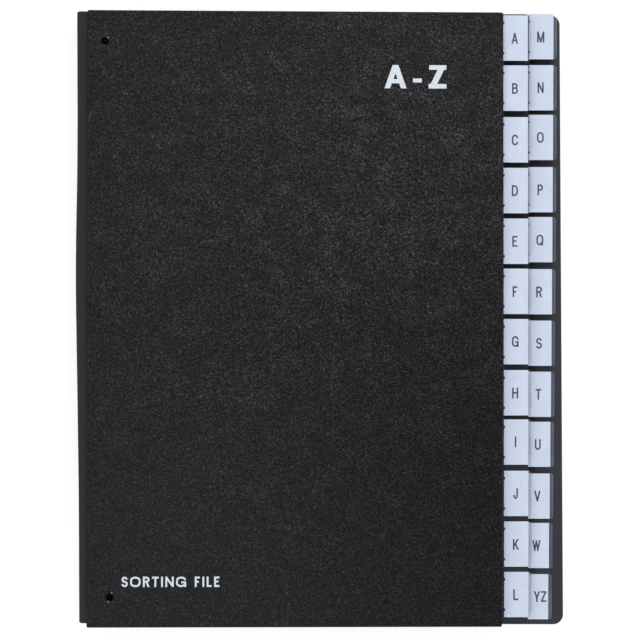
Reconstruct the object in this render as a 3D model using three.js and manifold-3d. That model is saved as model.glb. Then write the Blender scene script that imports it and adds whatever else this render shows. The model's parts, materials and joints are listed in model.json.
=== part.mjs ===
// A desk sorting file for A4 papers: two board covers, an expanding bellows spine and 24 index leaves,
// each a black card divider with a labelled tab on its free edge.
// Millimetres, +Z up. The file lies shut on its back cover. X runs from the spine (-) to the free edge (+),
// Y along the spine, and the origin is the centre of the back cover's underside.
import * as THREE from "three";
import { mergeVertices } from "three/addons/utils/BufferGeometryUtils.js";
import Module from "manifold-3d";

const wasm = await Module();
wasm.setup();

// ---- Driving dimensions -------------------------------------------------------------------------

const LETTERS = [..."abcdefghijklmnopqrstuvw", "yz"];
const PER_COLUMN = 12; // the tabs stand in two columns of twelve

const FIT = 0.03; // air between bonded layers, so that no two solids share a face

const COVER = { height: 340, frontWidth: 229.4, backWidth: 263 };
const BOARD_T = 1.6; // grey board core
const WRAP_T = 0.25; // embossed covering
const TURN_IN = 15; // how far the covering is folded over onto the inner face
const COVER_T = BOARD_T + 2 * (WRAP_T + FIT);
const SQUARE_CORNER = 0.8;
const ROUND_CORNER = 5.5; // free corners of the back cover
const BACK_LEAN = 1.3; // the back cover is out of square: its free edge stands out at the bottom
const LEAN_FROM = 40; // the lean starts this far from the spine-side edge

const SHEET = { height: 337.9, middleY: 0.65, thickness: 0.3, corner: 2 };
const PEEP = { radius: 5, fromRoot: 118, fromMiddle: 80, sides: 12 };

const TAB = {
  height: 25.2,
  thickness: 0.46,
  grip: 4.8, // overlap on the divider
  reach: 15.6, // beyond the divider's edge
  corner: 1.5,
  slot: 0.32, // the divider's edge sits in this
  pinRadius: 0.9,
  pinInset: 0.1, // from the divider's edge
  pinOffset: 8.4, // each way from the tab's middle
};
const COLUMNS = [
  { firstTabY: 155.9, pitch: 28.04 },
  { firstTabY: 157.1, pitch: 28.35 },
];
// How far each tab of a column sits above its even place.
const STRAY = [
  [-0.05, 0.7, -0.1, -0.4, 0, 0, -0.1, 0, 0.4, -0.3, 0, -0.3],
  [0.1, 0.5, 1.0, 0.1, 1.1, 0.2, -0.3, 0, 0.2, -0.5, 0.7, 0.2],
];
const EDGE_SHOWING = 0.2; // how far the first divider stands out past the front cover
const COLUMN_STEP = 14.6; // how much wider the dividers of the second column are
const STEP_OUT = 1.3; // how far the last leaf of the first column stands out past its first
const STEP_IN = 2.0; // how far the last leaf of the second column has stepped in from its first

const SPINE_PITCH = 0.7; // leaf to leaf at the spine
const EDGE_PITCH = 0.42; // leaf to leaf at the free edge
const END_ROOM = 0.8; // more room beside each cover, for the rolled ends of the eyelets

const BELLOWS = {
  length: 337.2,
  middleY: 0.85,
  strip: 0.12,
  flank: 12, // glued to each face of a divider
  flap: 26, // under each cover's eyelets
  bulge: 5.6, // beyond the covers' edges
  noseSteps: 4,
};
const ROOT_INSET = 6.4; // from the outside of the folds to the dividers' edges, just under the covers

const EYELET = {
  flangeRadius: 3.2,
  flangeT: 0.35,
  barrelRadius: 2.2,
  boreRadius: 1.9,
  recess: 0.45, // counterbore that keeps the head below the surface
  sides: 16,
};
const EYELET_PLACES = [
  { end: "top", fromSpineEdge: 9.6, y: 153.0 },
  { end: "bottom", fromSpineEdge: 12.7, y: -153.4 },
];

// ---- Places worked out from them ----------------------------------------------------------------

const SPINE_EDGE_X = -COVER.backWidth / 2; // spine-side edge of both covers
const FRONT_EDGE_X = SPINE_EDGE_X + COVER.frontWidth;
const FOLD_X = SPINE_EDGE_X - BELLOWS.bulge; // outside of the folds
const ROOT_X = FOLD_X + ROOT_INSET;
const NOSE_RADIUS = SPINE_PITCH / 2 - FIT / 2;
const NOSE_X = FOLD_X + NOSE_RADIUS; // centres of the folds, where the leaves turn
const N = LETTERS.length;

// Height of leaf k's mid-plane at the root; k runs from 1 (front) to N (back).
const rootZ = (k) => COVER_T + END_ROOM + (N + 0.5 - k) * SPINE_PITCH;
const edgeZ = (k) => COVER_T + (N + 1 - k) * EDGE_PITCH;
const slopeTo = (from, to) => Math.atan2(to - from, FRONT_EDGE_X - ROOT_X);
const leafSlope = (k) => slopeTo(rootZ(k), edgeZ(k));
const FRONT_Z = rootZ(1) + SPINE_PITCH / 2 + END_ROOM; // inner face of the front cover at the root
const FRONT_SLOPE = slopeTo(FRONT_Z, edgeZ(0));

const column = (k) => (k > PER_COLUMN ? 1 : 0);
const row = (k) => (k - 1) % PER_COLUMN;
const evenY = (k) => COLUMNS[column(k)].firstTabY - row(k) * COLUMNS[column(k)].pitch;
const tabY = (k) => evenY(k) + STRAY[column(k)][row(k)];
const down = (k) => row(k) / (PER_COLUMN - 1); // 0 at a column's first tab, 1 at its last
const step = (k) => (column(k) ? COLUMN_STEP - STEP_IN * down(k) ** 2 : STEP_OUT * down(k));
const sheetWidth = (k) => FRONT_EDGE_X - ROOT_X + EDGE_SHOWING + step(k);
const leafShift = (k) => 0.25 * Math.sin(2.1 * k); // the leaves aren't glued in perfectly in line

// ---- Solids -------------------------------------------------------------------------------------

function solid(geometry) {
  const bare = geometry.clone();
  bare.deleteAttribute("normal");
  bare.deleteAttribute("uv");
  const merged = mergeVertices(bare, 1e-4);
  return new wasm.Manifold(
    new wasm.Mesh({
      numProp: 3,
      vertProperties: merged.attributes.position.array,
      triVerts: new Uint32Array(merged.index.array),
    }),
  );
}

function geometryOf(body) {
  const mesh = body.getMesh();
  const geometry = new THREE.BufferGeometry();
  geometry.setAttribute("position", new THREE.BufferAttribute(mesh.vertProperties, 3));
  geometry.setIndex(new THREE.BufferAttribute(mesh.triVerts, 1));
  geometry.computeVertexNormals();
  return geometry;
}

// A rectangle from x0 to x1 and y0 to y1, with a corner radius for its low-x and its high-x side.
function panel(x0, x1, y0, y1, lowRadius, highRadius) {
  const shape = new THREE.Shape();
  const corner = (x, y, radius, start) =>
    shape.absarc(x, y, radius, start, start + Math.PI / 2, false);
  corner(x1 - highRadius, y0 + highRadius, highRadius, -Math.PI / 2);
  corner(x1 - highRadius, y1 - highRadius, highRadius, 0);
  corner(x0 + lowRadius, y1 - lowRadius, lowRadius, Math.PI / 2);
  corner(x0 + lowRadius, y0 + lowRadius, lowRadius, Math.PI);
  shape.closePath();
  return shape;
}

function plate(shape, z0, z1, curveSegments) {
  const options = { depth: z1 - z0, bevelEnabled: false, curveSegments };
  return new THREE.ExtrudeGeometry(shape, options).translate(0, 0, z0);
}

function rod(x, y, z0, z1, radius, sides) {
  const geometry = new THREE.CylinderGeometry(radius, radius, z1 - z0, sides);
  return geometry.rotateX(Math.PI / 2).translate(x, y, (z0 + z1) / 2);
}

function box(x0, x1, y0, y1, z0, z1) {
  const geometry = new THREE.BoxGeometry(x1 - x0, y1 - y0, z1 - z0);
  return geometry.translate((x0 + x1) / 2, (y0 + y1) / 2, (z0 + z1) / 2);
}

// ---- Materials ----------------------------------------------------------------------------------

const finish = (color, roughness, metalness = 0) =>
  new THREE.MeshStandardMaterial({ color, roughness, metalness });
const MATERIALS = {
  covering: finish(0x2b2b2e, 0.6),
  board: finish(0x8a8680, 0.9),
  lining: finish(0x232326, 0.8),
  card: finish(0x1c1c1e, 0.85),
  bellows: finish(0x303134, 0.6),
  label: finish(0xd6dcf0, 0.35),
  eyelet: finish(0x101011, 0.25, 0.6),
};

function part(name, geometry, material) {
  const mesh = new THREE.Mesh(geometry, material);
  mesh.name = name;
  return mesh;
}

// ---- Covers -------------------------------------------------------------------------------------

// A cover in its own frame: inner face at z = 0, outer face at COVER_T, spine-side edge at x = 0.
// flip is -1 for a cover that will be turned over, and lean is how far its free edge stands out at +y.
function cover(side, width, freeCorner, flip, lean) {
  const half = COVER.height / 2;
  const leaned = (geometry) => {
    const place = geometry.attributes.position;
    for (let i = 0; i < place.count; i++) {
      const share = Math.max(0, (place.getX(i) - LEAN_FROM) / (width - LEAN_FROM));
      place.setX(i, place.getX(i) + (lean * share * place.getY(i)) / half);
    }
    geometry.computeVertexNormals();
    return geometry;
  };
  const inset = (by, radius) => Math.max(radius - by, 0.1);
  const outline = (by) =>
    panel(by, width - by, by - half, half - by, inset(by, SQUARE_CORNER), inset(by, freeCorner));
  const bores = EYELET_PLACES.map(({ fromSpineEdge: x, y }) =>
    solid(rod(x, y * flip, -1, COVER_T + 1, EYELET.barrelRadius + 0.1, EYELET.sides)),
  );
  const recesses = EYELET_PLACES.map(({ fromSpineEdge: x, y }) => {
    const radius = EYELET.flangeRadius + 0.15;
    return solid(rod(x, y * flip, COVER_T - EYELET.recess, COVER_T + 1, radius, EYELET.sides));
  });
  const drilled = (body) => [...bores, ...recesses].reduce((left, tool) => left.subtract(tool), body);

  const core = plate(outline(WRAP_T + FIT), WRAP_T + FIT, WRAP_T + FIT + BOARD_T, 5);
  const room = plate(outline(WRAP_T), WRAP_T, COVER_T - WRAP_T, 5);
  const window = plate(outline(TURN_IN), -1, WRAP_T + FIT, 5);
  const wrap = solid(plate(outline(0), 0, COVER_T, 5)).subtract(solid(room)).subtract(solid(window));
  const lining = plate(outline(TURN_IN + 0.1), 0, WRAP_T, 5);

  const group = new THREE.Group();
  group.add(
    part(`${side}_cover_board`, leaned(geometryOf(drilled(solid(core)))), MATERIALS.board),
    part(`${side}_cover_covering`, leaned(geometryOf(drilled(wrap))), MATERIALS.covering),
    part(`${side}_cover_lining`, leaned(geometryOf(solid(lining))), MATERIALS.lining),
  );
  for (const { end, fromSpineEdge, y } of EYELET_PLACES) {
    const eyelet = part(`${side}_eyelet_${end}`, eyeletGeometry(), MATERIALS.eyelet);
    eyelet.position.set(fromSpineEdge, y * flip, 0);
    group.add(eyelet);
  }
  return group;
}

// A hollow rivet: a head sunk below the cover's outer face, a barrel through the cover and the bellows'
// end flap, and a rolled end beyond the flap.
function eyeletGeometry() {
  const headZ = COVER_T - EYELET.recess + 0.02;
  const rollZ = -(FIT + BELLOWS.strip + 0.02);
  const { flangeRadius: flange, flangeT: t, barrelRadius: barrel, boreRadius: bore } = EYELET;
  const profile = [
    [bore, rollZ - t * 0.8],
    [barrel + 0.1, rollZ - t],
    [flange - 0.6, rollZ - t * 0.6],
    [flange - 0.5, rollZ],
    [barrel, rollZ],
    [barrel, headZ],
    [flange, headZ],
    [flange, headZ + t * 0.4],
    [flange - 0.5, headZ + t],
    [bore + 0.25, headZ + t * 0.9],
    [bore, headZ + t * 0.4],
    [bore, rollZ - t * 0.8],
  ];
  const points = profile.map(([r, z]) => new THREE.Vector2(r, z));
  return new THREE.LatheGeometry(points, EYELET.sides).rotateX(Math.PI / 2);
}

// ---- Bellows ------------------------------------------------------------------------------------

// Point s along leaf k from its root and h above its mid-plane, in the XZ plane.
function onLeaf(k, s, h) {
  const a = leafSlope(k);
  return [ROOT_X + s * Math.cos(a) - h * Math.sin(a), rootZ(k) + s * Math.sin(a) + h * Math.cos(a)];
}

function onFrontCover(s, h) {
  const a = FRONT_SLOPE;
  return [ROOT_X + s * Math.cos(a) - h * Math.sin(a), FRONT_Z + s * Math.sin(a) + h * Math.cos(a)];
}

// The outside of one fold: the left half of an oval, from its top to its bottom.
function nose(top, bottom) {
  const steps = BELLOWS.noseSteps;
  return Array.from({ length: steps + 1 }, (_, i) => {
    const angle = Math.PI / 2 + (Math.PI * i) / steps;
    const z = (top + bottom) / 2 + ((top - bottom) / 2) * Math.sin(angle);
    return [NOSE_X + NOSE_RADIUS * Math.cos(angle), z];
  });
}

// One pleated strip: each fold opens towards the leaves, and each divider's root is glued in a slot
// between two folds. Flaps at both ends lie on the covers' inner faces, under the eyelets.
function bellowsOutline() {
  const { strip, flank, flap } = BELLOWS;
  const halfSlot = SHEET.thickness / 2 + FIT;
  const halfWeb = halfSlot + strip;
  const low = COVER_T + FIT;
  const high = FRONT_Z - FIT;
  const points = [onFrontCover(flap, -FIT), onFrontCover(0, -FIT)];
  for (let j = 0; j <= N; j++) {
    const top = j === 0 ? high : rootZ(j) - FIT / 2;
    const bottom = j === N ? low : rootZ(j + 1) + FIT / 2;
    points.push(...nose(top, bottom));
  }
  points.push([ROOT_X + flap, low], [ROOT_X + flap, low + strip], [NOSE_X, low + strip]);
  for (let k = N; k >= 1; k--) {
    points.push([NOSE_X, rootZ(k) - halfWeb], onLeaf(k, 0, -halfWeb), onLeaf(k, flank, -halfWeb));
    points.push(onLeaf(k, flank, -halfSlot), onLeaf(k, -0.1, -halfSlot), onLeaf(k, -0.1, halfSlot));
    points.push(onLeaf(k, flank, halfSlot), onLeaf(k, flank, halfWeb), onLeaf(k, 0, halfWeb));
    points.push([NOSE_X, rootZ(k) + halfWeb]);
  }
  points.push([NOSE_X, high - strip], onFrontCover(0, -FIT - strip), onFrontCover(flap, -FIT - strip));
  return points.map(([x, z]) => new THREE.Vector2(x, z));
}

function bellows() {
  const options = { depth: BELLOWS.length, bevelEnabled: false };
  const strip = new THREE.ExtrudeGeometry(new THREE.Shape(bellowsOutline()), options)
    .rotateX(Math.PI / 2)
    .translate(0, BELLOWS.length / 2 + BELLOWS.middleY, 0);
  const holes = EYELET_PLACES.flatMap(({ fromSpineEdge, y }) => {
    const tool = () => rod(0, 0, -0.5, 0.5, EYELET.barrelRadius + 0.1, EYELET.sides);
    const x = SPINE_EDGE_X + fromSpineEdge;
    const [frontX, frontZ] = onFrontCover(x - ROOT_X, -FIT - BELLOWS.strip / 2);
    const front = tool().rotateY(-FRONT_SLOPE).translate(frontX, y, frontZ);
    const back = tool().scale(1, 1, 0.6).translate(x, y, COVER_T + FIT + BELLOWS.strip / 2);
    return [solid(front), solid(back)];
  });
  const body = holes.reduce((left, hole) => left.subtract(hole), solid(strip));
  return part("spine_bellows", geometryOf(body), MATERIALS.bellows);
}

// ---- Leaves -------------------------------------------------------------------------------------

function divider(k) {
  const low = SHEET.middleY - SHEET.height / 2;
  const high = SHEET.middleY + SHEET.height / 2;
  const shape = panel(0, sheetWidth(k), low, high, 0.5, SHEET.corner);
  for (const y of [-PEEP.fromMiddle, PEEP.fromMiddle]) {
    const rim = Array.from({ length: PEEP.sides }, (_, i) => {
      const angle = (2 * Math.PI * i) / PEEP.sides;
      return new THREE.Vector2(
        PEEP.fromRoot + PEEP.radius * Math.cos(angle),
        y + PEEP.radius * Math.sin(angle),
      );
    });
    shape.holes.push(new THREE.Path(rim));
  }
  const card = plate(shape, -SHEET.thickness / 2, SHEET.thickness / 2, 2);
  return part(`divider_${LETTERS[k - 1]}`, card, MATERIALS.card);
}

// A label in its sleeve, gripping the divider's edge in a slot and fixed through two punched holes.
function tab(k) {
  const edge = sheetWidth(k);
  const y = tabY(k);
  const half = TAB.height / 2;
  const body = panel(edge - TAB.grip, edge + TAB.reach, y - half, y + half, 0.3, TAB.corner);
  const depth = TAB.slot / 2;
  const slot = box(edge - TAB.grip - 1, edge + 0.05, y - half - 1, y + half + 1, -depth, depth);
  const pins = [-TAB.pinOffset, TAB.pinOffset].map((offset) =>
    solid(rod(edge - TAB.pinInset, y + offset, -1, 1, TAB.pinRadius, 6)),
  );
  const whole = solid(plate(body, -TAB.thickness / 2, TAB.thickness / 2, 2));
  const cut = [solid(slot), ...pins].reduce((left, tool) => left.subtract(tool), whole);
  return part(`tab_${LETTERS[k - 1]}`, geometryOf(cut), MATERIALS.label);
}

function leaf(k) {
  const group = new THREE.Group();
  group.position.set(ROOT_X, leafShift(k), rootZ(k));
  group.rotation.y = -leafSlope(k);
  group.add(divider(k), tab(k));
  return group;
}

// ---- Assembly -----------------------------------------------------------------------------------

const file = new THREE.Group();

const back = cover("back", COVER.backWidth, ROUND_CORNER, -1, BACK_LEAN);
back.rotation.x = Math.PI;
back.position.set(SPINE_EDGE_X, 0, COVER_T);
file.add(back, bellows());

for (let k = N; k >= 1; k--) file.add(leaf(k));

const front = new THREE.Group();
front.position.set(ROOT_X, 0, FRONT_Z);
front.rotation.y = -FRONT_SLOPE;
const frontPanel = cover("front", COVER.frontWidth, SQUARE_CORNER, 1, 0);
frontPanel.position.x = SPINE_EDGE_X - ROOT_X;
front.add(frontPanel);
file.add(front);

export default file;
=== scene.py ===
"""Looks for a desk sorting file for A4 papers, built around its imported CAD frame. Metres, +Z up."""
import json
import math
import random

import bmesh
import bpy
from mathutils import Matrix, Vector
from mathutils.geometry import delaunay_2d_cdt


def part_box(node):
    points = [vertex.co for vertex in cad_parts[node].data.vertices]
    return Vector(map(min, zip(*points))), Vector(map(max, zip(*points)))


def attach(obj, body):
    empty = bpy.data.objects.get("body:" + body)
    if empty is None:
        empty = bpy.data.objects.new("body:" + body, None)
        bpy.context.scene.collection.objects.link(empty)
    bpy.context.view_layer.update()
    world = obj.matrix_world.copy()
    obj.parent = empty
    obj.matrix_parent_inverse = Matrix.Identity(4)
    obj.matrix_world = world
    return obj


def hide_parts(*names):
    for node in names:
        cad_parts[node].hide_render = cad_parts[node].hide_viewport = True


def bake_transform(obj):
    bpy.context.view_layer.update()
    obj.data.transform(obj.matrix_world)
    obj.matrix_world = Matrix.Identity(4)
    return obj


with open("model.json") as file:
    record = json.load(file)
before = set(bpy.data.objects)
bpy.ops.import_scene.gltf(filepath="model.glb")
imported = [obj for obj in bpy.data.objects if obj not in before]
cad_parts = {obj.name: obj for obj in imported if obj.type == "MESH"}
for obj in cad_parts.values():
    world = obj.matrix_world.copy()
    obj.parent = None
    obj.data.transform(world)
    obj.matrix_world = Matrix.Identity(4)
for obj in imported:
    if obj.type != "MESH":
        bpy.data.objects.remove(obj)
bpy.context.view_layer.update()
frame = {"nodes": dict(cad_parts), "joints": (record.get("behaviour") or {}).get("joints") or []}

MM = 0.001
LETTERS = [*"abcdefghijklmnopqrstuvw", "yz"]
LAST = len(LETTERS)  # the lowest fold's number, since there is one fold more than there are leaves
FIRST_COLUMN = 12  # leaves with a tab in the first column, A to L
CARD_T = 0.30 * MM
COVER_T = 2.16 * MM  # board, covering and lining together
FRONT_CORNER = 0.9 * MM
BACK_CORNER = 5.5 * MM
BACK_LEAN = 1.3 * MM  # the back cover's free edge stands out this much at the bottom
LEAN_FROM = 40 * MM  # and the lean starts this far from the spine
AIR = 0.03 * MM  # between pieces that lie on each other
JOINT_POS = {j["child"]: Vector(j["pos_m"]) for j in frame["joints"]}
random.seed(7)


# ---------------------------------------------------------------- node materials
class Nodes:
    """A small helper that builds one material's node tree."""

    def __init__(self, name):
        self.mat = bpy.data.materials.new(name)
        self.mat.use_nodes = True
        self.tree = self.mat.node_tree
        self.tree.nodes.clear()
        self.out = self.tree.nodes.new("ShaderNodeOutputMaterial")
        self.coord = self.tree.nodes.new("ShaderNodeTexCoord").outputs["Object"]

    def node(self, kind, inputs=None, **settings):
        n = self.tree.nodes.new(kind)
        for key, value in settings.items():
            setattr(n, key, value)
        for key, value in (inputs or {}).items():
            self.set(n.inputs[key], value)
        return n

    def set(self, socket, value):
        if isinstance(value, bpy.types.NodeSocket):
            self.tree.links.new(value, socket)
        elif socket.type == "RGBA" and len(value) == 3:
            socket.default_value = (*value, 1.0)
        else:
            socket.default_value = value

    def scaled(self, sx, sy, sz, coord=None, turn=0.0):
        coord = self.coord if coord is None else coord
        inputs = {"Vector": coord, "Scale": (sx, sy, sz), "Rotation": (0, 0, turn)}
        return self.node("ShaderNodeMapping", inputs).outputs[0]

    def noise(self, vector, scale, detail=2.0, rough=0.5, distortion=0.0):
        n = self.node("ShaderNodeTexNoise", {"Vector": vector, "Scale": scale, "Detail": detail,
                                             "Roughness": rough, "Distortion": distortion})
        return n.outputs["Fac"]

    def ramp(self, value, low, high, out_low=0.0, out_high=1.0):
        n = self.node("ShaderNodeMapRange", {"Value": value, "From Min": low, "From Max": high,
                                             "To Min": out_low, "To Max": out_high})
        return n.outputs[0]

    def math(self, op, a, b=0.0):
        return self.node("ShaderNodeMath", {0: a, 1: b}, operation=op).outputs[0]

    def vector(self, op, a, b, result=0):
        return self.node("ShaderNodeVectorMath", {0: a, 1: b}, operation=op).outputs[result]

    def distance(self, middle):
        """How far a point lies from middle, in metres."""
        return self.vector("DISTANCE", self.coord, middle, "Value")

    def across(self, coord=None):
        return self.node("ShaderNodeSeparateXYZ", {0: self.coord if coord is None else coord}).outputs[0]

    def mix(self, fac, a, b):
        n = self.node("ShaderNodeMix", data_type="RGBA")
        self.set(n.inputs["Factor"], fac)
        self.set(n.inputs[6], a)
        self.set(n.inputs[7], b)
        return n.outputs[2]

    def bump(self, height, strength, distance, normal=None):
        n = self.node("ShaderNodeBump", {"Height": height, "Strength": strength, "Distance": distance})
        if normal is not None:
            self.set(n.inputs["Normal"], normal)
        return n.outputs[0]

    def principled(self, **inputs):
        names = {k.replace("_", " "): v for k, v in inputs.items()}
        n = self.node("ShaderNodeBsdfPrincipled", names)
        self.tree.links.new(n.outputs[0], self.out.inputs["Surface"])
        return self.mat


def leatherette():
    """Black embossed covering: fine pebbles and short wrinkles, in cloudy patches, with painted sheen on
    the grain's ridges.
    """
    n = Nodes("leatherette")
    base = n.scaled(1, 1, 1)
    warp = n.node("ShaderNodeTexNoise", {"Vector": base, "Scale": 260.0, "Detail": 2.0}).outputs["Color"]
    offset = n.vector("SUBTRACT", warp, (0.5, 0.5, 0.5))
    push = n.node("ShaderNodeVectorMath", {0: offset, "Scale": 0.0045}, operation="SCALE").outputs[0]
    moved = n.vector("ADD", base, push)
    pebble = n.ramp(n.noise(moved, 1150.0, 1.0, 0.5), 0.40, 0.66)
    cells = n.node("ShaderNodeTexVoronoi", {"Vector": moved, "Scale": 560.0}, feature="DISTANCE_TO_EDGE")
    vein = n.ramp(cells.outputs[0], 0.0, 0.13, 1.0, 0.0)
    wrinkle = n.noise(n.scaled(0.38, 1.0, 1.0, moved, 0.35), 620.0, 2.0, 0.55)
    wrinkle = n.ramp(n.math("ABSOLUTE", n.math("SUBTRACT", wrinkle, 0.5)), 0.0, 0.05, 1.0, 0.0)
    patch = n.ramp(n.noise(base, 75.0, 3.0, 0.6, 0.3), 0.40, 0.64)
    # The wrinkles stand deepest above the cover's middle, where a painted pool of sheen lights the grain
    # most; the painted sheen fades outwards, most of all towards the lower right.
    # The ground carries painted shade at the right, and painted light along the spine and at the lower
    # left.
    crispness_and_sheen_pool = n.ramp(n.distance((0.035, 0.085, 0.02)), 0.02, 0.27, 1.0, 0.52)
    from_right = n.distance((0.13, -0.08, 0.02))
    painted_sheen_fade = n.ramp(from_right, 0.03, 0.17, 0.64, 1.0)
    painted_light_lower_left = n.ramp(n.distance((-0.07, -0.15, 0.02)), 0.04, 0.16, 0.70, 0.0)
    shade = n.math("ADD", n.ramp(from_right, 0.05, 0.27), painted_light_lower_left)
    veined = n.math("MULTIPLY", n.math("MULTIPLY", vein, pebble), 0.45)
    relief = n.math("ADD", n.math("MULTIPLY", pebble, 0.60), veined)
    creased = n.math("MULTIPLY", wrinkle, n.math("MULTIPLY", n.math("ADD", crispness_and_sheen_pool, -0.25), patch))
    relief = n.math("ADD", relief, n.math("MULTIPLY", creased, 0.95))
    # worn is the ridges' wear and their painted sheen: the higher the relief, the lighter the colour.
    worn = n.math("MULTIPLY", n.math("POWER", relief, 1.8), n.math("MULTIPLY", crispness_and_sheen_pool, painted_sheen_fade))
    # The ground: the covering's black, under the painted shade and painted light of shade.
    ground = n.mix(n.math("MULTIPLY", shade, 0.5), (0.0015, 0.0015, 0.0017), (0.0096, 0.0096, 0.0110))
    ridge_sheen_share = 0.55
    colour = n.mix(n.math("MULTIPLY", worn, ridge_sheen_share), ground, (0.112, 0.112, 0.124))
    rough = n.ramp(relief, 0.0, 1.0, 0.56, 0.38)
    return n.principled(Base_Color=colour, Roughness=rough, Specular_IOR_Level=0.13,
                        Normal=n.bump(relief, 0.6, 0.00016))


def spine_paper():
    """Smooth coated strip of the folds, with fine lines drawn along it."""
    n = Nodes("spine_paper")
    lines = n.noise(n.scaled(1, 0.004, 1), 5200.0, 2.0, 0.6)
    grain = n.noise(n.scaled(1, 0.35, 1), 900.0, 3.0, 0.55)
    cloud = n.ramp(n.noise(n.scaled(1, 0.5, 1), 30.0, 2.0), 0.3, 0.7)
    tone = n.math("ADD", n.math("MULTIPLY", cloud, 0.5), n.math("MULTIPLY", n.ramp(lines, 0.3, 0.7), 0.5))
    colour = n.mix(tone, (0.0080, 0.0082, 0.0096), (0.0160, 0.0163, 0.0190))
    # Painted shade: the strip darkens from its outer edge, at these x, to where it goes under the cover.
    colour = n.mix(n.ramp(n.across(), -0.1365, -0.1320, 0.0, 0.75), colour, (0.0045, 0.0047, 0.0055))
    height = n.math("ADD", lines, n.math("MULTIPLY", grain, 0.6))
    return n.principled(Base_Color=colour, Roughness=n.ramp(cloud, 0, 1, 0.46, 0.38),
                        Specular_IOR_Level=0.45, Normal=n.bump(height, 0.25, 0.00005))


def back_film():
    """Smooth dark sheeting of the back cover, with a faint satin grain."""
    n = Nodes("back_film")
    grain = n.noise(n.scaled(1, 1, 1), 1500.0, 3.0, 0.6)
    cloud = n.ramp(n.noise(n.scaled(1, 1, 1), 22.0, 2.0), 0.3, 0.7)
    colour = n.mix(cloud, (0.0132, 0.0148, 0.0235), (0.0200, 0.0222, 0.0335))
    return n.principled(Base_Color=colour, Roughness=n.ramp(grain, 0.3, 0.7, 0.42, 0.54),
                        Specular_IOR_Level=0.45, Normal=n.bump(grain, 0.2, 0.00006))


def black_card():
    """Dyed card: near black, matt, with short fibres and a few paler flecks."""
    n = Nodes("black_card")
    fibres = n.noise(n.scaled(1, 0.25, 1), 2400.0, 3.0, 0.65, 0.6)
    flecks = n.ramp(n.noise(n.scaled(1, 1, 1), 3400.0, 1.0), 0.62, 0.72)
    cloud = n.ramp(n.noise(n.scaled(1, 1, 1), 60.0, 3.0), 0.3, 0.7)
    tone = n.math("MULTIPLY", n.ramp(fibres, 0.3, 0.7), 0.7)
    colour = n.mix(tone, (0.0200, 0.0203, 0.0290), (0.038, 0.0385, 0.053))
    colour = n.mix(n.math("MULTIPLY", flecks, 0.30), colour, (0.04, 0.04, 0.046))
    return n.principled(Base_Color=colour, Roughness=n.ramp(cloud, 0, 1, 0.80, 0.92),
                        Specular_IOR_Level=0.25, Normal=n.bump(fibres, 0.25, 0.00005))


def lining_paper():
    """Black paper inside the covers."""
    n = Nodes("lining_paper")
    fibres = n.noise(n.scaled(0.4, 1, 1), 1800.0, 3.0, 0.6)
    cloud = n.ramp(n.noise(n.scaled(1, 1, 1), 35.0, 3.0), 0.3, 0.7)
    colour = n.mix(cloud, (0.012, 0.012, 0.0135), (0.021, 0.021, 0.023))
    return n.principled(Base_Color=colour, Roughness=n.ramp(fibres, 0.3, 0.7, 0.68, 0.82),
                        Specular_IOR_Level=0.3, Normal=n.bump(fibres, 0.2, 0.00006))


def grey_board():
    """Grey board with fibres and dark flecks."""
    n = Nodes("grey_board")
    fibres = n.noise(n.scaled(1, 0.3, 1), 1400.0, 4.0, 0.7, 0.8)
    flecks = n.ramp(n.noise(n.scaled(1, 1, 1), 1900.0, 1.0), 0.6, 0.7)
    colour = n.mix(n.ramp(fibres, 0.3, 0.7), (0.19, 0.18, 0.165), (0.31, 0.30, 0.275))
    colour = n.mix(n.math("MULTIPLY", flecks, 0.5), colour, (0.07, 0.07, 0.07))
    return n.principled(Base_Color=colour, Roughness=0.9, Normal=n.bump(fibres, 0.4, 0.0001))


def label_paper():
    """Bluish white index paper, with a painted bluish shade along its side towards the spine."""
    n = Nodes("label_paper")
    fibres = n.noise(n.scaled(1, 0.6, 1), 2200.0, 3.0, 0.6)
    cloud = n.ramp(n.noise(n.scaled(1, 1, 1), 130.0, 2.0), 0.3, 0.7)
    colour = n.mix(cloud, (0.715, 0.77, 0.89), (0.76, 0.81, 0.92))
    across = n.across(n.node("ShaderNodeTexCoord").outputs["Generated"])
    # Painted shade: bluer and darker along the label's side towards the spine.
    colour = n.mix(n.ramp(across, 0.0, 0.26, 0.40, 0.0), colour, (0.62, 0.74, 0.94))
    return n.principled(Base_Color=colour, Roughness=n.ramp(fibres, 0.3, 0.7, 0.55, 0.7),
                        Specular_IOR_Level=0.3, Normal=n.bump(fibres, 0.15, 0.00003))


def film(name, share_flat, share_edge, haze_colour, clear_colour):
    """Thin film: lets light through but for a share of haze and gloss, larger at a glancing view."""
    n = Nodes(name)
    ripple = n.noise(n.scaled(1, 0.3, 1), 160.0, 2.0)
    normal = n.bump(ripple, 0.15, 0.0002)
    clear = n.node("ShaderNodeBsdfTransparent", {"Color": clear_colour})
    haze = n.node("ShaderNodeBsdfPrincipled", {"Base Color": haze_colour, "Roughness": 0.2,
                                               "Specular IOR Level": 0.5, "Normal": normal})
    facing = n.node("ShaderNodeLayerWeight", {"Blend": 0.25}).outputs["Facing"]
    share = n.ramp(n.math("POWER", facing, 2.0), 0.0, 1.0, share_flat, share_edge)
    share = n.math("ADD", share, n.ramp(ripple, 0.4, 0.6, -0.005, 0.008))
    mix = n.node("ShaderNodeMixShader")
    n.set(mix.inputs[0], share)
    n.tree.links.new(clear.outputs[0], mix.inputs[1])
    n.tree.links.new(haze.outputs[0], mix.inputs[2])
    n.tree.links.new(mix.outputs[0], n.out.inputs["Surface"])
    return n.mat


def ink(name, low, high, rough):
    """Printed ink, a little uneven where it sits on the grain."""
    n = Nodes(name)
    speckle = n.ramp(n.noise(n.scaled(1, 1, 1), 1500.0, 3.0, 0.6), 0.32, 0.62)
    return n.principled(Base_Color=n.mix(speckle, low, high), Roughness=rough,
                        Normal=n.bump(speckle, 0.2, 0.00004))


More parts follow.
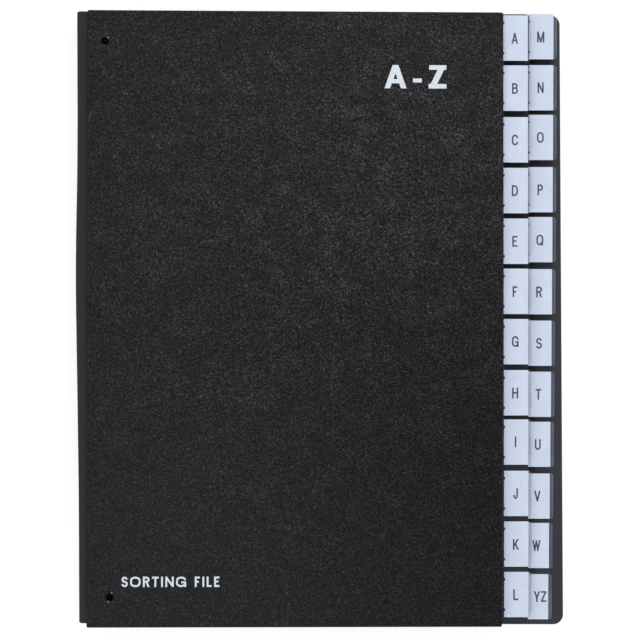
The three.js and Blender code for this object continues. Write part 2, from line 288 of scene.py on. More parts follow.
def black_enamel(name, gloss):
    """Black lacquer on the eyelets, with the faintest unevenness."""
    n = Nodes(name)
    dust = n.noise(n.scaled(1, 1, 1), 900.0, 3.0, 0.6)
    colour = n.mix(n.ramp(dust, 0.35, 0.75), (0.0012, 0.0012, 0.0014), (0.0022, 0.0022, 0.0025))
    return n.principled(Base_Color=colour, Roughness=n.ramp(dust, 0.3, 0.7, 0.10, 0.17),
                        Specular_IOR_Level=gloss)


def floor_paint():
    """White acrylic of a light table."""
    n = Nodes("floor_paint")
    grain = n.noise(n.scaled(1, 1, 1), 40.0, 3.0)
    return n.principled(Base_Color=n.mix(grain, (0.40, 0.40, 0.40), (0.42, 0.42, 0.42)), Roughness=0.9,
                        Specular_IOR_Level=0.1, Emission_Color=(1.0, 1.0, 1.0), Emission_Strength=0.73)


LEATHERETTE = leatherette()
SPINE = spine_paper()
BACK_FILM = back_film()
CARD = black_card()
LINING = lining_paper()
BOARD = grey_board()
PAPER = label_paper()
FILM = film("clear_film", 0.020, 0.45, (0.30, 0.34, 0.44), (0.975, 0.982, 0.992))
FILM_MARGIN = film("film_margin", 0.026, 0.45, (0.62, 0.76, 1.0), (0.988, 0.992, 0.998))
FILM_FOLD = film("film_fold", 0.033, 0.50, (0.75, 0.88, 1.0), (0.988, 0.992, 0.998))
PRINT = ink("white_print", (0.56, 0.61, 0.68), (0.70, 0.755, 0.83), 0.5)
LETTER_INK = ink("letter_ink", (0.028, 0.040, 0.090), (0.050, 0.066, 0.125), 0.6)
SPOT = ink("weld_spot", (0.010, 0.010, 0.014), (0.02, 0.02, 0.026), 0.35)
ENAMEL = black_enamel("black_enamel", 0.38)
# The disc in each eyelet's barrel: duller black enamel, as painted shade for the hole.
BORE_SHADE = black_enamel("hole_shade_enamel", 0.15)


# ---------------------------------------------------------------- mesh helpers
def make(name, verts, faces, material, smooth=None):
    """A mesh object in the row frame. smooth says which faces are shaded smooth."""
    mesh = bpy.data.meshes.new(name)
    mesh.from_pydata([tuple(v) for v in verts], [], faces)
    mesh.validate()
    mesh.materials.append(material)
    for i, poly in enumerate(mesh.polygons):
        poly.use_smooth = True if smooth is None else smooth(i)
    obj = bpy.data.objects.new(name, mesh)
    bpy.context.scene.collection.objects.link(obj)
    return obj


def orient(obj):
    """Turns every face of a mesh outwards."""
    bm = bmesh.new()
    bm.from_mesh(obj.data)
    bmesh.ops.recalc_face_normals(bm, faces=bm.faces)
    bm.to_mesh(obj.data)
    bm.free()


def place(obj, matrix):
    obj.data.transform(matrix)


def outline(x0, x1, y0, y1, low_r, high_r, steps):
    """Points round a rectangle, anticlockwise, with corners of radius low_r at x0 and high_r at x1."""
    points = []
    corners = ((x1 - high_r, y0 + high_r, high_r, -90), (x1 - high_r, y1 - high_r, high_r, 0),
               (x0 + low_r, y1 - low_r, low_r, 90), (x0 + low_r, y0 + low_r, low_r, 180))
    for cx, cy, r, start in corners:
        for i in range(steps + 1):
            a = math.radians(start + 90 * i / steps)
            points.append((cx + r * math.cos(a), cy + r * math.sin(a)))
    return points


def circle(sides):
    """Directions of points evenly round a circle."""
    angles = [2 * math.pi * i / sides for i in range(sides)]
    return [(math.cos(a), math.sin(a)) for a in angles]


def band(a, b, count):
    """Faces between two rings of count points, which start at vertices a and b."""
    return [(a + i, b + i, b + (i + 1) % count, a + (i + 1) % count) for i in range(count)]


def lofted(name, rings, material):
    """A closed skin over rings of equal counts, with a face across the first and the last."""
    count = len(rings[0])
    verts = [p for ring in rings for p in ring]
    faces = [tuple(range(count))]
    for i in range(len(rings) - 1):
        faces += band(i * count, (i + 1) * count, count)
    faces.append(tuple(reversed(range((len(rings) - 1) * count, len(rings) * count))))
    obj = make(name, verts, faces, material, smooth=lambda i: 0 < i < len(faces) - 1)
    orient(obj)
    return obj


def drill(obj, x, y, z0, z1, radius, sides=40):
    """Cuts a round hole along Z through obj."""
    rings = [[(x + radius * c, y + radius * s, z) for c, s in circle(sides)] for z in (z0, z1)]
    tool = lofted("tool", rings, obj.data.materials[0])
    cut = obj.modifiers.new("cut", "BOOLEAN")
    cut.operation = "DIFFERENCE"
    cut.solver = "EXACT"
    cut.object = tool
    graph = bpy.context.evaluated_depsgraph_get()
    mesh = bpy.data.meshes.new_from_object(obj.evaluated_get(graph))
    obj.modifiers.remove(cut)
    obj.data = mesh
    bpy.data.objects.remove(tool)


def arc(cx, cy, rx, ry, start, end):
    """Points along part of an ellipse, in degrees anticlockwise from +X."""
    steps = max(int(abs(end - start) / 15), 2)
    angles = [math.radians(start + (end - start) * i / steps) for i in range(steps + 1)]
    return [(cx + rx * math.cos(a), cy + ry * math.sin(a)) for a in angles]


STEM = [(0, -0.2), (0, 1.2)]
RIGHT_STEM = [(1, -0.2), (1, 1.2)]
ROUND = arc(0.5, 0.68, 0.5, 0.32, 0, 180) + arc(0.5, 0.32, 0.5, 0.32, 180, 360)
# Each capital's strokes, as centre lines from (0, 0) at its lower left to (1, 1) at its upper right. What
# runs past the ends is cut off level with them.
STROKES = {
    "A": [[(-0.06, -0.12), (0.56, 1.12)], [(1.06, -0.12), (0.44, 1.12)], [(0.16, 0.29), (0.84, 0.29)]],
    "B": [STEM, [(0, 1), (0.48, 1), *arc(0.48, 0.77, 0.44, 0.23, 90, -90), (0, 0.54)],
          [(0, 0.54), (0.52, 0.54), *arc(0.52, 0.27, 0.48, 0.27, 90, -90), (0, 0)]],
    "C": [[*arc(0.5, 0.69, 0.5, 0.31, 0, 180), *arc(0.5, 0.31, 0.5, 0.31, 180, 360)]],
    "D": [STEM, [(0, 1), (0.40, 1), *arc(0.40, 0.66, 0.60, 0.34, 90, 0),
                 *arc(0.40, 0.34, 0.60, 0.34, 0, -90), (0, 0)]],
    "E": [STEM, [(0, 1), (1.2, 1)], [(0, 0.53), (0.92, 0.53)], [(0, 0), (1.2, 0)]],
    "F": [STEM, [(0, 1), (1.2, 1)], [(0, 0.50), (0.90, 0.50)]],
    "G": [[*arc(0.5, 0.69, 0.5, 0.31, 0, 180), *arc(0.5, 0.31, 0.5, 0.31, 180, 360)],
          [(0.52, 0.44), (1.2, 0.44)], [(1, -0.2), (1, 0.44)]],
    "H": [STEM, RIGHT_STEM, [(0, 0.52), (1, 0.52)]],
    "I": [STEM],
    "J": [[(1, 1.2), (1, 0.29), *arc(0.5, 0.29, 0.5, 0.29, -15, -180), (0, 0.36)]],
    "K": [STEM, [(0, 0.30), (1.06, 1.14)], [(0.36, 0.60), (1.06, -0.14)]],
    "L": [STEM, [(0, 0), (1.2, 0)]],
    "M": [STEM, RIGHT_STEM, [(-0.05, 1.15), (0.55, -0.15)], [(1.05, 1.15), (0.45, -0.15)]],
    "N": [STEM, RIGHT_STEM, [(-0.06, 1.1), (1.06, -0.1)]],
    "O": [[*ROUND]],
    "P": [STEM, [(0, 1), (0.5, 1), *arc(0.5, 0.74, 0.5, 0.26, 90, -90), (0, 0.48)]],
    "Q": [[*ROUND], [(0.60, 0.24), (1.10, -0.10)]],
    "R": [STEM, [(0, 1), (0.5, 1), *arc(0.5, 0.76, 0.48, 0.24, 90, -90), (0, 0.52)],
          [(0.48, 0.56), (1.04, -0.16)]],
    "S": [[*arc(0.5, 0.755, 0.47, 0.245, 5, 240), *arc(0.5, 0.255, 0.5, 0.255, 60, -175)]],
    "T": [[(-0.2, 1), (1.2, 1)], [(0.5, 1), (0.5, -0.2)]],
    "U": [[(0, 1.2), (0, 0.30), *arc(0.5, 0.30, 0.5, 0.30, 195, 345), (1, 0.30), (1, 1.2)]],
    "V": [[(-0.06, 1.12), (0.56, -0.12)], [(1.06, 1.12), (0.44, -0.12)]],
    "W": [[(-0.03, 1.12), (0.31, -0.12)], [(0.22, -0.12), (0.53, 1.06)],
          [(0.78, -0.12), (0.47, 1.06)], [(1.03, 1.12), (0.69, -0.12)]],
    "Y": [[(-0.08, 1.12), (0.5, 0.40)], [(1.08, 1.12), (0.5, 0.40)], [(0.5, 0.46), (0.5, -0.2)]],
    "Z": [[(-0.2, 1), (1.2, 1)], [(-0.2, 0), (1.2, 0)], [(-0.08, -0.08), (1.08, 1.08)]],
}
CLOSED = ("O", "Q")
SAME_POINT = 1e-4 * MM  # points of a letter nearer to each other than this are one


def ensure_ccw(poly):
    area = sum(a.x * b.y - b.x * a.y for a, b in zip(poly, poly[1:] + poly[:1]))
    return poly if area > 0 else poly[::-1]


def clipped(poly, width, height):
    """A convex polygon cut to the box from (0, 0) to (width, height)."""
    for axis, limit, sign in ((0, 0, 1), (0, width, -1), (1, 0, 1), (1, height, -1)):
        kept = []
        for a, b in zip(poly, poly[1:] + poly[:1]):
            da, db = sign * (a[axis] - limit), sign * (b[axis] - limit)
            if da >= 0:
                kept.append(a)
            if (da > 0 > db) or (da < 0 < db):
                kept.append(a.lerp(b, da / (da - db)))
        poly = kept
    return poly


def capital(letter, width, height, weight):
    """A capital's strokes as convex polygons, width by height, from (0, 0)."""
    half, polys = weight / 2, []
    for number, line in enumerate(STROKES[letter]):
        points = []
        for u, v in line:
            p = Vector((half + u * (width - weight), half + v * (height - weight)))
            if not points or (p - points[-1]).length > 1e-3 * weight:
                points.append(p)
        loop = letter in CLOSED and number == 0
        if loop:
            points.append(points[0])
        ways = [(b - a).normalized() for a, b in zip(points, points[1:])]
        sides = []
        for i, p in enumerate(points):
            before = ways[i - 1] if i or loop else ways[0]
            after = ways[i] if i < len(ways) else (ways[0] if loop else ways[-1])
            turn = (before + after) / (1 + before.dot(after))
            off = Vector((-turn.y, turn.x)) * half
            sides.append((p + off, p - off))
        for (a, b), (c, d) in zip(sides, sides[1:]):
            piece = clipped([b, d, c, a], width, height)
            if len(piece) > 2:
                polys.append(ensure_ccw(piece))
    return polys


def lettering(name, words, depth, material):
    """A mesh of thin closed letters. words holds, for each letter, its polygons and where it starts."""
    bm = bmesh.new()
    for polys, (x, y) in words:
        points, faces = [], []
        for poly in polys:
            faces.append([len(points) + i for i in range(len(poly))])
            points += poly
        flat, _, tris, _, _, owners = delaunay_2d_cdt(points, [], faces, 1, SAME_POINT)
        verts = [bm.verts.new((v.x + x, v.y + y, 0)) for v in flat]
        for tri, owner in zip(tris, owners):
            if owner:
                bm.faces.new([verts[i] for i in tri])
    bmesh.ops.delete(bm, geom=[v for v in bm.verts if not v.link_faces], context="VERTS")
    bmesh.ops.remove_doubles(bm, verts=bm.verts, dist=SAME_POINT)
    solid = bmesh.ops.extrude_face_region(bm, geom=bm.faces[:])
    raised = [v for v in solid["geom"] if isinstance(v, bmesh.types.BMVert)]
    bmesh.ops.translate(bm, verts=raised, vec=(0, 0, depth))
    bmesh.ops.recalc_face_normals(bm, faces=bm.faces)
    bm.verts.index_update()
    # Sorted, because the extrusion leaves the faces in no fixed order.
    faces = sorted(tuple(v.index for v in face.verts) for face in bm.faces)
    mesh = bpy.data.meshes.new(name)
    mesh.from_pydata([v.co[:] for v in bm.verts], [], faces)
    bm.free()
    mesh.materials.append(material)
    return mesh


def show(mesh, matrix, body):
    """Puts a mesh in the scene, under its own name, at matrix and on body."""
    obj = bpy.data.objects.new(mesh.name, mesh)
    bpy.context.scene.collection.objects.link(obj)
    place(obj, matrix)
    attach(obj, body)


# ---------------------------------------------------------------- where things are
def leaf_frame(name):
    """The divider's own frame: X from its root to its free edge, Z off its front face. Also its width."""
    lo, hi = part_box("divider_" + name)
    slope = math.asin((hi.z - lo.z - CARD_T) / (hi.x - lo.x))
    root = Vector((lo.x, (lo.y + hi.y) / 2, hi.z - CARD_T / 2))
    return Matrix.Translation(root) @ Matrix.Rotation(slope, 4, "Y"), (hi.x - lo.x) / math.cos(slope)


def front_frame():
    """The front cover's own frame, from its inner face's edge by the spine, Z outwards, and its width."""
    lo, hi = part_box("front_cover_covering")
    slope = math.asin((hi.z - lo.z - COVER_T) / (hi.x - lo.x))
    corner = Vector((lo.x, (lo.y + hi.y) / 2, hi.z - COVER_T * math.cos(slope)))
    width = (hi.x - lo.x - COVER_T * math.sin(slope)) / math.cos(slope)
    return Matrix.Translation(corner) @ Matrix.Rotation(slope, 4, "Y"), width


def back_frame():
    """The same for the back cover, turned over, so that Z points down. Its lean makes its box wider."""
    lo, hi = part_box("back_cover_covering")
    half = (hi.y - lo.y) / 2
    width = hi.x - lo.x - BACK_LEAN * (half - BACK_CORNER) / half
    corner = Matrix.Translation((lo.x, (lo.y + hi.y) / 2, hi.z))
    return corner @ Matrix.Rotation(math.pi, 4, "X"), width


LEAF = {name: leaf_frame(name) for name in LETTERS}
FRONT, FRONT_W = front_frame()
BACK, BACK_W = back_frame()
ROOT_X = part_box("divider_a")[0].x
NOSE_X = JOINT_POS["front_cover"].x


# ---------------------------------------------------------------- covers
BORE_R = 1.9 * MM
BARREL_R = 2.2 * MM
HEAD_R = 3.25 * MM
SEAT_R = 3.22 * MM


def covering(name, matrix, width, height, corner, lean, material, body, node, holes):
    """The sheet round a board: over the outer face, round its edges and turned in over the inner face."""
    half, t, edge_r, skin, turn_in = height / 2, COVER_T, 0.55 * MM, 0.25 * MM, 15 * MM
    steps = 6

    def ring(inset, z):
        radii = [max(c - inset, 0.12 * MM) for c in (FRONT_CORNER, corner)]
        return [(x, y, z) for x, y in outline(inset, width - inset, inset - half, half - inset, *radii, 8)]

    angles = [math.pi / 2 * i / steps for i in range(steps + 1)]
    rings = [ring(edge_r * (1 - math.sin(a)), t - edge_r * (1 - math.cos(a))) for a in angles]
    rings += [ring(edge_r * (1 - math.cos(a)), edge_r * (1 - math.sin(a))) for a in angles]
    rings += [ring(turn_in - 0.1 * MM, 0.0), ring(turn_in, 0.06 * MM), ring(turn_in, skin)]
    rings += [ring(skin, skin), ring(skin, t - skin)]
    obj = lofted(name, rings, material)
    for x, y in holes:
        drill(obj, x, y, -MM, t + MM, BARREL_R + 0.1 * MM)
        drill(obj, x, y, t - 0.40 * MM, t + MM, SEAT_R)  # the head sits in this
    for v in obj.data.vertices:
        v.co.x += lean * v.co.y / half * max(0.0, (v.co.x - LEAN_FROM) / (width - LEAN_FROM))
    place(obj, matrix)
    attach(obj, body)
    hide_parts(node)


def eyelet(name, matrix, x, y, body, node):
    """A black eyelet: a rounded head, a barrel and a rolled end, with a dull black disc across the barrel
    as painted shade in its hole.
    """
    head, flange, roll = COVER_T - 0.48 * MM, 0.05 * MM, -0.17 * MM
    profile = [(BORE_R, roll), (BORE_R, head + 0.20 * MM)]
    # The head's rim, from the bore over its crown and down its sloping shoulder: radius and rise in mm.
    rim = ((1.93, 0.30), (2.00, 0.355), (2.10, 0.375), (2.28, 0.355), (2.46, 0.312), (2.64, 0.256),
           (2.82, 0.187), (2.99, 0.11), (3.15, 0.03), (3.25, -0.04))
    profile += [(r * MM, head + rise * MM) for r, rise in rim]
    profile += [(HEAD_R - flange, head - flange), (BARREL_R, head - flange), (BARREL_R, roll)]
    for i in range(8):  # the rolled end, from the barrel out and back towards the bore
        a = math.pi * i / 8
        profile.append((BARREL_R + 0.1 * MM + 0.4 * MM * math.cos(a), roll - 0.28 * MM * math.sin(a)))
    sides, count = 56, len(profile)
    turns = circle(sides)
    verts = [(x + r * c, y + r * s, z) for c, s in turns for r, z in profile]
    faces = []
    for k in range(sides):
        faces += band(k * count, (k + 1) % sides * count, count)
    # A dull black disc closes the barrel just above the spine's end flap: painted shade that keeps the hole
    # dark.
    base, shade_disc, shade_disc_r = len(verts), len(faces), BORE_R + 0.05 * MM
    for z in (0.05 * MM, 0.13 * MM):
        verts += [(x + shade_disc_r * c, y + shade_disc_r * s, z) for c, s in turns]
    faces.append(tuple(base + k for k in reversed(range(sides))))
    faces += band(base, base + sides, sides)
    faces.append(tuple(base + sides + k for k in range(sides)))
    obj = make(name, verts, faces, ENAMEL)
    obj.data.materials.append(BORE_SHADE)
    for poly in obj.data.polygons[shade_disc:]:
        poly.material_index = 1
    orient(obj)
    place(obj, matrix)
    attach(obj, body)
    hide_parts(node)


def eyelet_places(side, matrix):
    """Middles of a cover's eyelets in the cover's own frame."""
    places = {}
    for end in ("top", "bottom"):
        lo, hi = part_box(f"{side}_eyelet_{end}")
        local = matrix.inverted() @ ((lo + hi) / 2)
        places[end] = (local.x, local.y)
    return places


for side, matrix, width, corner, lean, material in (
        ("front", FRONT, FRONT_W, FRONT_CORNER, 0.0, LEATHERETTE),
        ("back", BACK, BACK_W, BACK_CORNER, BACK_LEAN, BACK_FILM)):
    body = side + "_cover"
    lo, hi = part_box(body + "_covering")
    places = eyelet_places(side, matrix)
    covering(side + "_covering", matrix, width, hi.y - lo.y, corner, lean, material, body,
             body + "_covering", places.values())
    for end, (x, y) in places.items():
        eyelet(f"{side}_rivet_{end}", matrix, x, y, body, f"{side}_eyelet_{end}")


# ---------------------------------------------------------------- printing on the front cover
def shape(points):
    return ensure_ccw([Vector(p) * MM for p in points])


PRINT_DEPTH = 0.03 * MM
RANGE_PRINT = [
    shape([(0, 0), (3.05, 0), (7.75, 12.9), (4.5, 12.9)]),
    shape([(12.2, 0), (9.15, 0), (4.45, 12.9), (7.7, 12.9)]),
    shape([(3.0, 2.75), (9.1, 2.75), (8.2, 5.15), (3.9, 5.15)]),
    shape([(15.75, 3.3), (20.65, 3.3), (20.65, 5.5), (15.75, 5.5)]),
    shape([(24.4, 0), (34.3, 0), (34.3, 2.55), (24.4, 2.55)]),
    shape([(24.7, 10.35), (34.2, 10.35), (34.2, 12.9), (24.7, 12.9)]),
    shape([(24.4, 0), (27.9, 0), (34.2, 12.9), (30.6, 12.9)]),
]
TITLE_WIDTHS = {"S": 3.5, "O": 5.7, "R": 3.7, "T": 3.7, "I": 1.05, "N": 4.6, "G": 5.5, "F": 2.9, "L": 2.8,
                "E": 3.0}
TITLE_HEIGHT, TITLE_WEIGHT, TITLE_GAP, TITLE_SPACE = 5.7 * MM, 1.02 * MM, 1.3 * MM, 3.5 * MM
# Where the lower left corners are: in from the cover's spine side, and from its upper or lower edge.
RANGE_IN, RANGE_DOWN = 163.7 * MM, 42.35 * MM
TITLE_IN, TITLE_UP = 19.2 * MM, 22.4 * MM
front_lo, front_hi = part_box("front_cover_covering")
front_half = (front_hi.y - front_lo.y) / 2
top_face = FRONT @ Matrix.Translation((0, 0, COVER_T + 0.005 * MM))
range_place = Matrix.Translation((RANGE_IN, front_half - RANGE_DOWN, 0))
range_print = lettering("print_range", [(RANGE_PRINT, (0, 0))], PRINT_DEPTH, PRINT)
show(range_print, top_face @ range_place, "front_cover")

title, pen = [], 0.0
for letter in "SORTING FILE":
    if letter == " ":
        pen += TITLE_SPACE
        continue
    wide = TITLE_WIDTHS[letter] * MM
    title.append((capital(letter, wide, TITLE_HEIGHT, TITLE_WEIGHT), (pen, 0)))
    pen += wide + TITLE_GAP
title_place = Matrix.Translation((TITLE_IN, -front_half + TITLE_UP, 0))
show(lettering("print_title", title, PRINT_DEPTH, PRINT), top_face @ title_place, "front_cover")


# ---------------------------------------------------------------- tabs
SLEEVE_FILM = 0.06 * MM
SLEEVE_DEPTH = 0.45 * MM
SLEEVE_LENGTH = 20.9 * MM
LABEL_WIDTH = 13.7 * MM
MARGIN = 1.75 * MM  # clear film past the label
SPOT_OFFSET = 8.4 * MM
CAP, PEN, LETTER_GAP = 6.0 * MM, 0.88 * MM, 0.5 * MM
LETTER_DEPTH = 0.02 * MM
LETTER_WIDTHS = {"A": 3.5, "B": 3.3, "C": 3.5, "D": 3.4, "E": 3.0, "F": 2.7, "G": 3.7, "H": 3.4, "I": 0.88,
                 "J": 2.6, "K": 3.3, "L": 2.9, "M": 4.1, "N": 3.4, "O": 3.8, "P": 3.1, "Q": 3.9, "R": 3.4,
                 "S": 3.3, "T": 3.1, "U": 3.3, "V": 3.5, "W": 4.6, "Y": 3.4, "Z": 3.1}


def sleeve(name, inner, outer, half, matrix, body, node):
    """Clear film folded round the divider's edge and the label, with rounded outer corners."""
    corner = 1.6 * MM
    low = [-half + share * corner for share in (0.0, 0.15, 0.4, 0.7, 1.0)] + [-half * 0.5]
    ys = low + [0.0] + [-y for y in reversed(low)]
    mid = SLEEVE_DEPTH / 2 - SLEEVE_FILM / 2
    verts, count = [], 0
    for y in ys:
        over = max(abs(y) - (half - corner), 0.0)
        reach = outer - (corner - math.sqrt(max(corner * corner - over * over, 0.0)))
        margin = min(outer - MARGIN, reach - 0.15 * MM)
        path = [(inner, mid), (inner + 6 * MM, mid), (margin - 4 * MM, mid), (margin, mid * 0.85)]
        for share, rise in ((0.65, 0.6), (0.86, 0.5), (0.97, 0.3), (1.0, 0.0)):
            path.append((margin + share * (reach - margin), mid * rise))
        path += [(x, -z) for x, z in reversed(path[:-1])]
        count = len(path)
        verts += [(x, y, z) for x, z in path]
    faces = [(r * count + i, r * count + i + 1, (r + 1) * count + i + 1, (r + 1) * count + i)
             for r in range(len(ys) - 1) for i in range(count - 1)]
    obj = make(name, verts, faces, FILM)
    obj.data.materials.append(FILM_MARGIN)
    obj.data.materials.append(FILM_FOLD)
    for i, poly in enumerate(obj.data.polygons):
        column = min(i % (count - 1), count - 2 - i % (count - 1))
        poly.material_index = 0 if column < 3 else (1 if column == 3 else 2)
    orient(obj)
    wall = obj.modifiers.new("wall", "SOLIDIFY")
    wall.thickness = SLEEVE_FILM
    wall.offset = 0.0
    place(obj, matrix)
    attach(obj, body)
    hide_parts(node)


def label_insert(name, x0, x1, half, matrix, body):
    """The paper label, with softly worn corners and edges."""
    worn = 0.03 * MM
    rings = [[(x, y, z) for x, y in outline(x0 + i, x1 - i, -half + i, half - i, 0.2 * MM, 0.25 * MM, 3)]
             for i, z in ((worn, -0.10 * MM), (0.0, -0.07 * MM), (0.0, 0.07 * MM), (worn, 0.10 * MM))]
    obj = lofted(name, rings, PAPER)
    place(obj, matrix)
    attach(obj, body)


def spots(name, x, matrix, body):
    """The two spots that fix the sleeve to the divider, on both faces."""
    sides, low, high = 20, 0.12 * MM, 0.235 * MM
    levels = ((0.855 * MM, low), (0.855 * MM, high - 0.02 * MM), (0.675 * MM, high))
    verts, faces = [], []
    for y in (-SPOT_OFFSET, SPOT_OFFSET):
        for face in (1, -1):
            base = len(verts)
            verts += [(x + r * c, y + r * s, z * face) for r, z in levels for c, s in circle(sides)]
            top = base + (len(levels) - 1) * sides
            faces.append(tuple(range(base, base + sides)))
            for a in range(base, top, sides):
                faces += band(a, a + sides, sides)
            faces.append(tuple(reversed(range(top, top + sides))))
    obj = make(name, verts, faces, SPOT, smooth=lambda i: False)
    orient(obj)
    place(obj, matrix)
    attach(obj, body)


for number, name in enumerate(LETTERS, start=1):
    body = "leaf_" + name
    matrix, width = LEAF[name]
    lo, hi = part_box("tab_" + name)
    half = (hi.y - lo.y) / 2
    here = matrix @ Matrix.Translation((0, (hi.y + lo.y) / 2 - matrix.translation.y, 0))
    reach = (here.inverted() @ Vector((hi.x, here.translation.y, here.translation.z))).x
    sleeve("sleeve_" + name, reach - SLEEVE_LENGTH, reach, half, here, body, "tab_" + name)
    label_insert("label_" + name, width + 0.05 * MM, width + LABEL_WIDTH, half - 0.01 * MM, here, body)
    spots("spots_" + name, width - 0.1 * MM, here, body)
    words, pen = [], 0.0
    for letter in name.upper():
        words.append((capital(letter, LETTER_WIDTHS[letter] * MM, CAP, PEN), (pen, 0)))
        pen += LETTER_WIDTHS[letter] * MM + LETTER_GAP
    pen -= LETTER_GAP
    # Typed by hand: no letter stands quite in the middle of its label.
    shift_x = 2.3 * MM if name == "yz" else -0.15 * MM if number > FIRST_COLUMN else -0.35 * MM
    stray_x, stray_y = random.uniform(-0.15, 0.15) * MM, random.uniform(-0.25, 0.15) * MM
    raised = Matrix.Translation((shift_x - pen / 2 + stray_x, stray_y - CAP / 2, 0.095 * MM))
    middle = here @ Matrix.Translation((width + LABEL_WIDTH / 2, 0, 0))
    for side, turn in (("front", Matrix.Identity(4)), ("back", Matrix.Rotation(math.pi, 4, "Y"))):
        glyph = lettering(f"letter_{name}_{side}", words, LETTER_DEPTH, LETTER_INK)
        show(glyph, middle @ turn @ raised, body)


# ---------------------------------------------------------------- the folds of the spine
STRIP = 0.12 * MM  # the strip's thickness
FLANK = 12 * MM  # how far a fold reaches in along a divider
FLAP = 26 * MM  # and the end folds along the covers
NOSE_DEPTH = 0.27 * MM
ROWS = 36
spine_lo, spine_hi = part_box("spine_bellows")
SPINE_HALF = (spine_hi.y - spine_lo.y) / 2
SPINE_MID = (spine_hi.y + spine_lo.y) / 2


def bow(y, fold):
    """How far the folds stand out past their CAD place, along the spine and down the pile."""
    u = (y - SPINE_MID) / SPINE_HALF
    along = 0.78 * u - 0.08 + 0.6 * math.exp(-((u - 0.12) / 0.26) ** 2)
    along -= 0.55 * math.tanh(abs(2.0 * u) ** 3)
    return (along + 0.55 * math.sin(math.pi * fold / LAST) + 0.10 * math.sin(9.0 * u + 2.3 * fold)) * MM


def fold_path(fold):
    """Middle line of one fold's strip in XZ: upper flank from its inner end, nose, lower flank."""
    glue = CARD_T / 2 + AIR + STRIP / 2
    if fold == 0:
        upper = [FRONT @ Vector((x, 0, -AIR - STRIP / 2)) for x in (FLAP, 14 * MM, 4 * MM, 0.0, -2.6 * MM)]
        top = upper[-1].z - 0.03 * MM
    else:
        leaf = LEAF[LETTERS[fold - 1]][0]
        upper = [leaf @ Vector((x, 0, -glue)) for x in (FLANK, 6 * MM, 0.3 * MM)]
        top = leaf.translation.z - (AIR + STRIP) / 2
    if fold == LAST:
        bottom = max(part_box("back_cover_lining")[1].z, COVER_T) + AIR + STRIP / 2
        lower = [Vector((ROOT_X + x, 0, bottom)) for x in (0.0, 6 * MM, 14 * MM, FLAP)]
    else:
        leaf = LEAF[LETTERS[fold]][0]
        lower = [leaf @ Vector((x, 0, glue)) for x in (0.3 * MM, 6 * MM, FLANK)]
        bottom = leaf.translation.z + (AIR + STRIP) / 2
    middle, radius, steps = (top + bottom) / 2, (top - bottom) / 2, 12
    nose = []
    for i in range(steps + 1):
        a = math.pi / 2 + math.pi * i / steps
        nose.append(Vector((NOSE_X + NOSE_DEPTH * math.cos(a), 0, middle + radius * math.sin(a))))
    return upper + nose + lower


def spine_fold(fold):
    """One fold of the strip, which bends between the piece above it and the piece below it."""
    path = fold_path(fold)
    normals = []
    for i in range(len(path)):
        d = path[min(i + 1, len(path) - 1)] - path[max(i - 1, 0)]
        normals.append(Vector((d.z, 0, -d.x)).normalized())
    loop = [(p + n * STRIP / 2) for p, n in zip(path, normals)]
    loop += [(p - n * STRIP / 2) for p, n in zip(reversed(path), reversed(normals))]
    count, verts = len(loop), []
    for k in range(ROWS + 1):
        # Closer rows near the ends, where the strip's corners are eased.
        u = -math.cos(math.pi * k / ROWS)
        y = SPINE_MID + SPINE_HALF * u
        ease = max(abs(u) - 0.9965, 0.0) / 0.0035
        out = bow(y, fold) - 0.7 * MM * ease * ease
        for p in loop:
            share = min(max((ROOT_X - p.x) / (ROOT_X - NOSE_X), 0.0), 1.15)
            share = share * share * (3 - 2 * min(share, 1.0))
            verts.append((p.x - share * out, y, p.z))
    faces = []
    for k in range(ROWS):
        faces += band(k * count, (k + 1) * count, count)
    for first in (0, ROWS * count):
        last = first + count - 1
        faces += [(first + i, first + i + 1, last - 1 - i, last - i) for i in range(count // 2 - 1)]
    obj = make(f"spine_fold_{fold:02d}", verts, faces, SPINE)
    orient(obj)
    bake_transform(obj)
    return obj


folds = [spine_fold(fold) for fold in range(LAST + 1)]
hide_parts("spine_bellows")


# ---------------------------------------------------------------- CAD nodes that stay
for node, obj in frame["nodes"].items():
    for word, shown in (("divider", CARD), ("lining", LINING), ("board", BOARD)):
        if word in node:
            obj.data.materials.clear()
            obj.data.materials.append(shown)


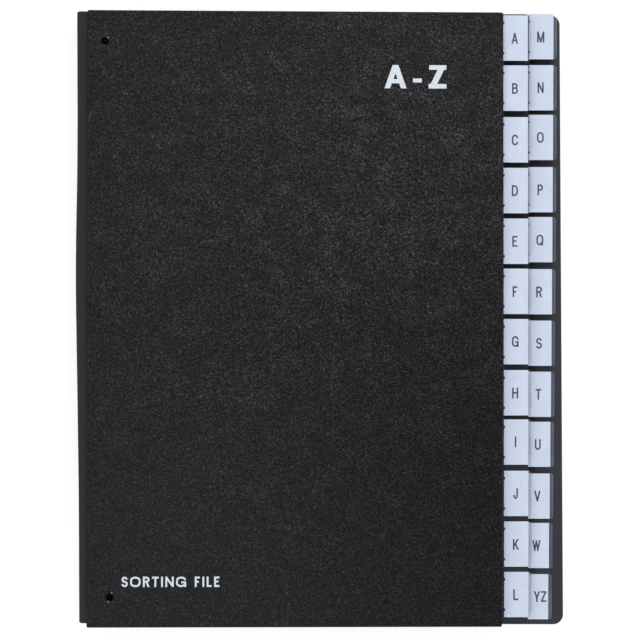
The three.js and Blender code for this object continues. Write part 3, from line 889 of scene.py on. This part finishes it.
# ---------------------------------------------------------------- stage
FLOOR_HALF = 4.0
CAMERA_HEIGHT = 1.469
floor_corners = [(x * FLOOR_HALF, y * FLOOR_HALF, 0) for x, y in ((-1, -1), (1, -1), (1, 1), (-1, 1))]
floor = make("floor", floor_corners, [(0, 1, 2, 3)], floor_paint())
floor.location.z = -0.05 * MM


def studio_world():
    """White walls all round and a darker ceiling behind the camera."""
    world = bpy.data.worlds.new("studio")
    world.use_nodes = True
    tree = world.node_tree
    up = tree.nodes.new("ShaderNodeSeparateXYZ")
    tree.links.new(tree.nodes.new("ShaderNodeTexCoord").outputs["Generated"], up.inputs[0])
    fade = tree.nodes.new("ShaderNodeMapRange")
    fade.interpolation_type = "SMOOTHSTEP"
    for name, value in (("From Min", 0.66), ("From Max", 0.86), ("To Min", 0.92), ("To Max", 0.42)):
        fade.inputs[name].default_value = value
    tree.links.new(up.outputs[2], fade.inputs["Value"])
    sky = tree.nodes["Background"]
    sky.inputs[0].default_value = (1.0, 1.0, 1.0, 1.0)
    tree.links.new(fade.outputs[0], sky.inputs[1])
    bpy.context.scene.world = world


def softbox(name, location, power):
    """A square lamp that faces the object."""
    light = bpy.data.lights.new(name, "AREA")
    light.shape = "RECTANGLE"
    light.size, light.size_y = 0.4, 0.4
    light.energy = power
    obj = bpy.data.objects.new(name, light)
    obj.location = location
    obj.rotation_euler = (-Vector(location)).to_track_quat("-Z", "Y").to_euler()
    bpy.context.scene.collection.objects.link(obj)


studio_world()
softbox("key", (0.55, 1.15, 1.75), 12)
softbox("fill", (-0.45, -1.35, 1.7), 9)

camera = bpy.data.cameras.new("camera")
camera.sensor_width = 36.0
camera.lens = 147.87
camera.clip_start = 0.05
camera_obj = bpy.data.objects.new("camera", camera)
camera_obj.location = (FRONT.translation.x + 128.3 * MM, -0.4 * MM, CAMERA_HEIGHT)
camera_obj.rotation_euler.z = math.radians(0.106)
bpy.context.scene.collection.objects.link(camera_obj)
bpy.context.scene.camera = camera_obj
bpy.context.scene.view_settings.view_transform = "Standard"
